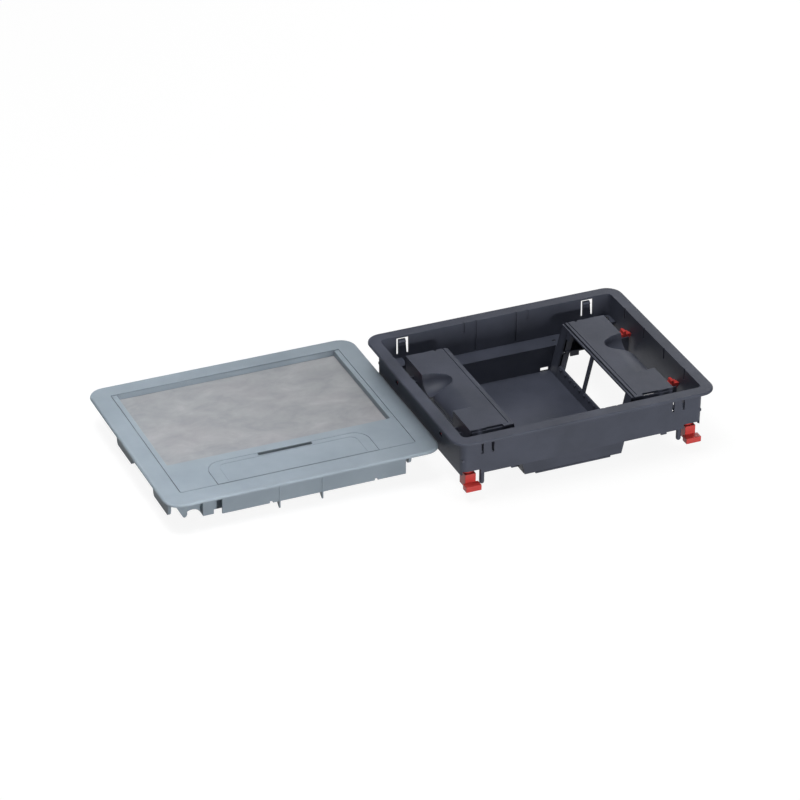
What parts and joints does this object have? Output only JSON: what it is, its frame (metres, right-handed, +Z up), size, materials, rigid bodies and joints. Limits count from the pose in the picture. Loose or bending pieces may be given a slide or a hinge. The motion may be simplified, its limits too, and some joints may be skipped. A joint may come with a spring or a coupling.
{
  "type": "floor socket box",
  "caption": "Rectangular plastic floor socket box with flange, corner clamps and inclined module frames, and its loose framed cover with hinged lid and cable flap",
  "frame": {"origin": "centre of the floor cut-out, in the plane of the underside of the box flange, which is floor level", "axes": "+X along the long side of the box, from the set-down cover towards the box; +Y towards the back edge; +Z up"},
  "size_m": [0.5934, 0.3115, 0.076],
  "materials": {
    "anthracite_plastic": "fine satin grain",
    "blue_grey_plastic": "fine satin grain",
    "red_plastic": "moulded semi-gloss",
    "floor_covering": "mottled concrete look",
    "zinc_steel": "zinc plated",
    "brass": "turned",
    "seal_rubber": "matt",
    "foam": "open cell foam"
  },
  "bodies": {
    "floor_box": {"box_body": "anthracite_plastic", "pit_tray": "anthracite_plastic", "left_device_frame": "anthracite_plastic", "right_device_frame": "anthracite_plastic", "cover_frame": "blue_grey_plastic", "lid_hinge_pins": "zinc_steel", "lid_seal": "seal_rubber"},
    "left_cover": {"left_top_cover": "anthracite_plastic"},
    "right_cover": {"right_top_cover": "anthracite_plastic"},
    "lid": {"lid_panel": "blue_grey_plastic", "floor_insert": "floor_covering"},
    "flap": {"cable_flap": "blue_grey_plastic", "flap_foam": "foam"},
    "lock_front_left": {"support_lock_front_left": "red_plastic"},
    "screw_front_left": {"clamp_screw_front_left": "zinc_steel"},
    "bush_front_left": {"clamp_bush_front_left": "brass"},
    "claw_front_left": {"clamp_claw_front_left": "red_plastic"},
    "lock_front_right": {"support_lock_front_right": "red_plastic"},
    "screw_front_right": {"clamp_screw_front_right": "zinc_steel"},
    "bush_front_right": {"clamp_bush_front_right": "brass"},
    "claw_front_right": {"clamp_claw_front_right": "red_plastic"},
    "lock_back_left": {"support_lock_back_left": "red_plastic"},
    "screw_back_left": {"clamp_screw_back_left": "zinc_steel"},
    "bush_back_left": {"clamp_bush_back_left": "brass"},
    "claw_back_left": {"clamp_claw_back_left": "red_plastic"},
    "lock_back_right": {"support_lock_back_right": "red_plastic"},
    "screw_back_right": {"clamp_screw_back_right": "zinc_steel"},
    "bush_back_right": {"clamp_bush_back_right": "brass"},
    "claw_back_right": {"clamp_claw_back_right": "red_plastic"}
  },
  "joints": [
    {"name": "left_cover_lift", "type": "slide", "parent": "floor_box", "child": "left_cover", "axis": [0, 0, 1], "range_m": [0, 0.05]},
    {"name": "right_cover_lift", "type": "slide", "parent": "floor_box", "child": "right_cover", "axis": [0, 0, 1], "range_m": [0, 0.05]},
    {"name": "lid_hinge", "type": "hinge", "parent": "floor_box", "child": "lid", "pos_m": [-0.2914, 0.164, -0.0345], "axis": [-1, 0, 0], "range_deg": [0, 92]},
    {"name": "flap_hinge", "type": "hinge", "parent": "lid", "child": "flap", "pos_m": [-0.2914, -0.0425, -0.0337], "axis": [1, 0, 0], "range_deg": [0, 100]},
    {"name": "lock_slide_front_left", "type": "slide", "parent": "floor_box", "child": "lock_front_left", "axis": [1, 0, 0], "range_m": [0, 0.0035]},
    {"name": "screw_turn_front_left", "type": "hinge", "parent": "floor_box", "child": "screw_front_left", "pos_m": [-0.1268, -0.0998, -0.0235], "axis": [0, 0, 1], "range_deg": [0, 5850]},
    {"name": "bush_climb_front_left", "type": "slide", "parent": "floor_box", "child": "bush_front_left", "axis": [0, 0, 1], "range_m": [0, 0.013]},
    {"name": "claw_swing_front_left", "type": "hinge", "parent": "bush_front_left", "child": "claw_front_left", "pos_m": [-0.1268, -0.0998, -0.055], "axis": [0, 0, -1], "range_deg": [0, 180]},
    {"name": "lock_slide_front_right", "type": "slide", "parent": "floor_box", "child": "lock_front_right", "axis": [-1, 0, 0], "range_m": [0, 0.0035]},
    {"name": "screw_turn_front_right", "type": "hinge", "parent": "floor_box", "child": "screw_front_right", "pos_m": [0.1268, -0.0998, -0.0235], "axis": [0, 0, 1], "range_deg": [0, 5850]},
    {"name": "bush_climb_front_right", "type": "slide", "parent": "floor_box", "child": "bush_front_right", "axis": [0, 0, 1], "range_m": [0, 0.013]},
    {"name": "claw_swing_front_right", "type": "hinge", "parent": "bush_front_right", "child": "claw_front_right", "pos_m": [0.1268, -0.0998, -0.055], "axis": [0, 0, 1], "range_deg": [0, 180]},
    {"name": "lock_slide_back_left", "type": "slide", "parent": "floor_box", "child": "lock_back_left", "axis": [1, 0, 0], "range_m": [0, 0.0035]},
    {"name": "screw_turn_back_left", "type": "hinge", "parent": "floor_box", "child": "screw_back_left", "pos_m": [-0.1268, 0.0998, -0.0235], "axis": [0, 0, 1], "range_deg": [0, 5850]},
    {"name": "bush_climb_back_left", "type": "slide", "parent": "floor_box", "child": "bush_back_left", "axis": [0, 0, 1], "range_m": [0, 0.013]},
    {"name": "claw_swing_back_left", "type": "hinge", "parent": "bush_back_left", "child": "claw_back_left", "pos_m": [-0.1268, 0.0998, -0.055], "axis": [0, 0, 1], "range_deg": [0, 180]},
    {"name": "lock_slide_back_right", "type": "slide", "parent": "floor_box", "child": "lock_back_right", "axis": [-1, 0, 0], "range_m": [0, 0.0035]},
    {"name": "screw_turn_back_right", "type": "hinge", "parent": "floor_box", "child": "screw_back_right", "pos_m": [0.1268, 0.0998, -0.0235], "axis": [0, 0, 1], "range_deg": [0, 5850]},
    {"name": "bush_climb_back_right", "type": "slide", "parent": "floor_box", "child": "bush_back_right", "axis": [0, 0, 1], "range_m": [0, 0.013]},
    {"name": "claw_swing_back_right", "type": "hinge", "parent": "bush_back_right", "child": "claw_back_right", "pos_m": [0.1268, 0.0998, -0.055], "axis": [0, 0, -1], "range_deg": [0, 180]}
  ],
  "couplings": [
    {"joint": "screw_turn_front_left", "follows": "bush_climb_front_left", "rad_per_m": 7854},
    {"joint": "screw_turn_front_right", "follows": "bush_climb_front_right", "rad_per_m": 7854},
    {"joint": "screw_turn_back_left", "follows": "bush_climb_back_left", "rad_per_m": 7854},
    {"joint": "screw_turn_back_right", "follows": "bush_climb_back_right", "rad_per_m": 7854}
  ]
}
